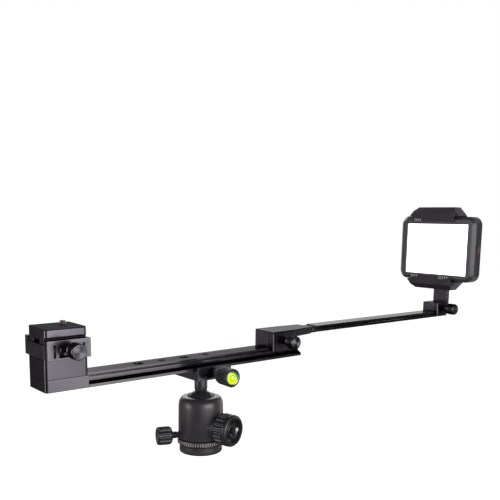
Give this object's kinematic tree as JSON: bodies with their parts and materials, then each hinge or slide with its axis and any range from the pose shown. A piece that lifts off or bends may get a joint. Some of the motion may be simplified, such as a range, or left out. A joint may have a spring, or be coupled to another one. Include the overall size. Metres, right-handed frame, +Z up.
{
  "type": "camera slider",
  "caption": "Dovetail rail with a quick-release camera riser, sliding carriage, extension bar and clipped light panel, clamped on a ball head.",
  "frame": {"origin": "centre of the ball head's base, on its underside, at the mouth of the threaded socket", "axes": "+X along the rail towards the light, +Z up, -Y the side with the clamp knobs"},
  "size_m": [0.67, 0.1347, 0.293],
  "materials": {
    "anodised_rail": "satin black anodised",
    "knob_metal": "satin black anodised",
    "head_paint": "matte black paint",
    "ball_black": "smooth black",
    "scale_ring": "black with light degree marks",
    "grip_rubber": "ribbed",
    "pad_rubber": "fine grain",
    "steel": "bright",
    "dark_steel": "black oxide",
    "seat_plastic": "natural nylon",
    "case_plastic": "fine moulded texture",
    "diffuser_white": "translucent white, lit",
    "button_red": "smooth",
    "level_liquid": "clear over yellow-green liquid",
    "circuit_board": "solder mask",
    "cell_wrap": "shrink wrap"
  },
  "bodies": {
    "head_base": {"head_base": "head_paint", "pan_ring": "scale_ring", "base_screws": "dark_steel"},
    "housing": {"head_housing": "head_paint", "ball_seat": "seat_plastic"},
    "main_knob": {"main_knob_grip": "grip_rubber", "main_knob_hub": "knob_metal", "main_knob_screw": "dark_steel"},
    "friction_screw": {"friction_screw": "steel"},
    "pan_knob": {"pan_knob": "grip_rubber", "pan_knob_screw": "dark_steel"},
    "ball": {"head_ball": "ball_black"},
    "stem": {"ball_stem": "head_paint", "head_clamp_body": "anodised_rail", "head_clamp_pins": "dark_steel"},
    "head_jaw": {"head_clamp_jaw": "anodised_rail"},
    "head_knob": {"head_clamp_knob": "grip_rubber", "head_clamp_screw": "dark_steel", "bubble_level": "level_liquid"},
    "rail": {"main_rail": "anodised_rail", "rail_end_stop": "dark_steel", "base_block": "anodised_rail", "riser_block": "anodised_rail", "riser_screws": "dark_steel", "qr_clamp_body": "anodised_rail", "qr_clamp_pins": "dark_steel"},
    "qr_jaw": {"qr_clamp_jaw": "anodised_rail"},
    "qr_knob": {"qr_knob": "knob_metal", "qr_screw": "steel"},
    "camera_plate": {"camera_plate": "anodised_rail", "plate_pad": "pad_rubber"},
    "camera_screw": {"camera_screw": "steel"},
    "carriage": {"carriage_body": "anodised_rail", "carriage_pins": "dark_steel", "arm_plate": "anodised_rail", "arm_screws": "steel", "bar_set_screws": "steel", "extension_bar": "anodised_rail"},
    "carriage_jaw": {"carriage_jaw": "anodised_rail"},
    "carriage_knob": {"carriage_knob": "knob_metal", "carriage_screw": "steel"},
    "bar_clamp": {"bar_clamp_body": "anodised_rail", "bar_clamp_pins": "dark_steel", "holder_spine": "anodised_rail", "stem_screws": "dark_steel", "lower_clip": "case_plastic", "spine_cover": "case_plastic", "clip_springs": "dark_steel", "light_shell": "case_plastic", "light_bezel": "case_plastic", "light_diffuser": "diffuser_white", "led_board": "circuit_board", "light_battery": "cell_wrap", "case_screws": "dark_steel"},
    "bar_jaw": {"bar_clamp_jaw": "anodised_rail"},
    "bar_knob": {"bar_knob": "knob_metal", "bar_screw": "steel"},
    "upper_clip": {"upper_clip": "case_plastic", "clip_guide_screws": "dark_steel"},
    "light_button": {"light_button": "button_red"}
  },
  "joints": [
    {"name": "pan", "type": "hinge", "parent": "head_base", "child": "housing", "pos_m": [0, 0, 0], "axis": [0, 0, 1], "continuous": true},
    {"name": "main_lock", "type": "hinge", "parent": "housing", "child": "main_knob", "pos_m": [0, 0, 0.032], "axis": [0.2588, -0.9659, 0], "range_deg": [0, 270]},
    {"name": "friction_set", "type": "hinge", "parent": "main_knob", "child": "friction_screw", "pos_m": [0.00724, 0.00194, 0.032], "axis": [0.2588, -0.9659, 0], "range_deg": [0, 330]},
    {"name": "pan_lock", "type": "hinge", "parent": "housing", "child": "pan_knob", "pos_m": [0, 0, 0.021], "axis": [-0.9272, 0.3746, 0], "range_deg": [0, 270]},
    {"name": "tilt", "type": "hinge", "parent": "housing", "child": "ball", "pos_m": [0, 0, 0.057], "axis": [0, 1, 0], "range_deg": [-32, 32]},
    {"name": "swivel", "type": "hinge", "parent": "ball", "child": "stem", "pos_m": [0, 0, 0.057], "axis": [0, 0, 1], "continuous": true},
    {"name": "head_jaw_slide", "type": "slide", "parent": "stem", "child": "head_jaw", "axis": [0, -1, 0], "range_m": [0, 0.003]},
    {"name": "head_knob_turn", "type": "hinge", "parent": "head_jaw", "child": "head_knob", "pos_m": [0, -0.04, 0.0982], "axis": [0, -1, 0], "range_deg": [0, 1080]},
    {"name": "rail_slide", "type": "slide", "parent": "stem", "child": "rail", "axis": [1, 0, 0], "range_m": [-0.115, 0.125]},
    {"name": "qr_jaw_slide", "type": "slide", "parent": "rail", "child": "qr_jaw", "axis": [0, -1, 0], "range_m": [0, 0.003]},
    {"name": "qr_knob_turn", "type": "hinge", "parent": "qr_jaw", "child": "qr_knob", "pos_m": [-0.176, -0.03, 0.145], "axis": [0, -1, 0], "range_deg": [0, 1350]},
    {"name": "plate_slide", "type": "slide", "parent": "rail", "child": "camera_plate", "axis": [1, 0, 0], "range_m": [-0.012, 0.012]},
    {"name": "camera_screw_turn", "type": "hinge", "parent": "camera_plate", "child": "camera_screw", "pos_m": [-0.166, 0.009, 0.16], "axis": [0, 0, 1], "continuous": true},
    {"name": "carriage_slide", "type": "slide", "parent": "rail", "child": "carriage", "axis": [1, 0, 0], "range_m": [-0.245, 0.001]},
    {"name": "carriage_jaw_slide", "type": "slide", "parent": "carriage", "child": "carriage_jaw", "axis": [0, -1, 0], "range_m": [0, 0.003]},
    {"name": "carriage_knob_turn", "type": "hinge", "parent": "carriage_jaw", "child": "carriage_knob", "pos_m": [0.1135, -0.02, 0.1233], "axis": [0, -1, 0], "range_deg": [0, 1350]},
    {"name": "bar_clamp_slide", "type": "slide", "parent": "carriage", "child": "bar_clamp", "axis": [1, 0, 0], "range_m": [-0.24, 0]},
    {"name": "bar_jaw_slide", "type": "slide", "parent": "bar_clamp", "child": "bar_jaw", "axis": [0, -1, 0], "range_m": [0, 0.003]},
    {"name": "bar_knob_turn", "type": "hinge", "parent": "bar_jaw", "child": "bar_knob", "pos_m": [0.4455, -0.02, 0.1402], "axis": [0, -1, 0], "range_deg": [0, 1350]},
    {"name": "clip_lift", "type": "slide", "parent": "bar_clamp", "child": "upper_clip", "axis": [0, 0, 1], "range_m": [0, 0.02], "stiffness_N_per_m": 150, "springref_m": -0.02, "deforming": ["clip_springs"]},
    {"name": "button_press", "type": "slide", "parent": "bar_clamp", "child": "light_button", "axis": [0, 1, 0], "range_m": [0, 0.0008], "stiffness_N_per_m": 800, "springref_m": -0.0005}
  ],
  "couplings": [
    {"joint": "head_knob_turn", "follows": "head_jaw_slide", "rad_per_m": 6283.2},
    {"joint": "qr_knob_turn", "follows": "qr_jaw_slide", "rad_per_m": 7854},
    {"joint": "carriage_knob_turn", "follows": "carriage_jaw_slide", "rad_per_m": 7854},
    {"joint": "bar_knob_turn", "follows": "bar_jaw_slide", "rad_per_m": 7854}
  ]
}
